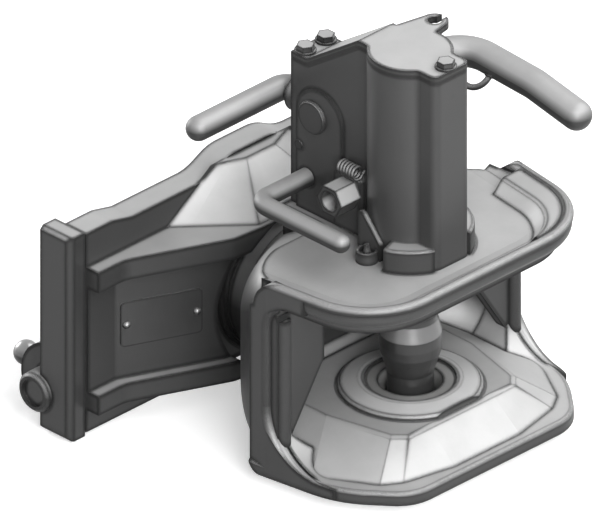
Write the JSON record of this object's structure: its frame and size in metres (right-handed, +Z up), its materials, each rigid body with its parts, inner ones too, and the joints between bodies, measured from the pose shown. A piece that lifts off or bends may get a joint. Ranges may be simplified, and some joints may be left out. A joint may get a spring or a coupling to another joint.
{
  "type": "trailer coupling",
  "caption": "Height-adjustable trailer coupling with a barrel pin in an open jaw, a lift lever in a tall housing, and a slider with guide rails and locking bolts.",
  "frame": {"origin": "coupling point, where the pin's axis crosses the axis on which the head turns", "axes": "+X out of the mouth towards the trailer, +Y to the far side, +Z up along the pin"},
  "size_m": [0.2854, 0.318, 0.2756],
  "materials": {
    "cast_grey": "shot-blasted casting, satin",
    "housing_grey": "smooth casting, satin",
    "rail_steel": "machined",
    "bar_steel": "drawn bar, smooth",
    "pin_steel": "ground and hardened",
    "plate_steel": "rolled, matt",
    "small_steel": "plated",
    "wear_steel": "worn, smooth",
    "spring_steel": "oiled",
    "mechanism_steel": "forged",
    "bush_metal": "bearing metal, dull"
  },
  "bodies": {
    "slider": {"slider_casting": "cast_grey", "left_guide_rail": "rail_steel", "right_guide_rail": "rail_steel", "data_plate": "plate_steel", "plate_rivets": "small_steel", "front_neck_bush": "bush_metal", "rear_neck_bush": "bush_metal", "thrust_washer": "wear_steel", "left_bolt_spring": "spring_steel", "right_bolt_spring": "spring_steel"},
    "head": {"jaw_casting": "cast_grey", "retaining_washer": "small_steel", "castle_nut": "small_steel", "split_pin": "small_steel", "left_side_guard": "plate_steel", "right_side_guard": "plate_steel", "wear_ring": "wear_steel", "lower_bush": "bush_metal", "guide_bush": "bush_metal", "mechanism_housing": "housing_grey", "housing_cover": "housing_grey", "cover_bolts": "small_steel", "roll_pin": "small_steel", "rear_handle_pin": "small_steel", "cable_bracket": "plate_steel", "hex_sleeve": "small_steel", "pin_grease_cup": "plate_steel"},
    "lift_lever": {"lift_fork": "mechanism_steel", "closing_spring": "spring_steel", "lift_shaft": "bar_steel", "shaft_cap": "bar_steel", "lift_handle": "bar_steel", "rope_eye": "bar_steel"},
    "coupling_pin": {"coupling_pin": "pin_steel"},
    "release_lever": {"release_handle": "bar_steel", "release_pawl": "mechanism_steel"},
    "rear_lever": {"rear_handle": "bar_steel"},
    "left_bolt": {"left_lock_bolt": "pin_steel", "left_bolt_handle": "small_steel"},
    "right_bolt": {"right_lock_bolt": "pin_steel", "right_bolt_handle": "small_steel"}
  },
  "joints": [
    {"name": "neck_turn", "type": "hinge", "parent": "slider", "child": "head", "pos_m": [-0.11, 0, 0], "axis": [1, 0, 0], "continuous": true},
    {"name": "lift_lever_turn", "type": "hinge", "parent": "head", "child": "lift_lever", "pos_m": [-0.066, 0, 0.1392], "axis": [0, -1, 0], "range_deg": [0, 74.8], "stiffness_Nm_per_rad": 1.2, "springref_deg": -40.11},
    {"name": "pin_lift", "type": "slide", "parent": "head", "child": "coupling_pin", "axis": [0, 0, 1], "range_m": [0, 0.0851]},
    {"name": "release_turn", "type": "hinge", "parent": "head", "child": "release_lever", "pos_m": [-0.0716, 0, 0.0949], "axis": [0, -1, 0], "range_deg": [0, 35]},
    {"name": "rear_lever_turn", "type": "hinge", "parent": "head", "child": "rear_lever", "pos_m": [-0.09, 0, 0.139], "axis": [-1, 0, 0], "range_deg": [0, 60]},
    {"name": "left_bolt_slide", "type": "slide", "parent": "slider", "child": "left_bolt", "axis": [0, 1, 0], "range_m": [0, 0.015], "stiffness_N_per_m": 1500, "springref_m": -0.01, "deforming": ["left_bolt_spring"]},
    {"name": "right_bolt_slide", "type": "slide", "parent": "slider", "child": "right_bolt", "axis": [0, -1, 0], "range_m": [0, 0.015], "stiffness_N_per_m": 1500, "springref_m": -0.01, "deforming": ["right_bolt_spring"]}
  ],
  "couplings": [
    {"joint": "pin_lift", "follows": "lift_lever_turn", "m_per_rad": 0.0651}
  ]
}
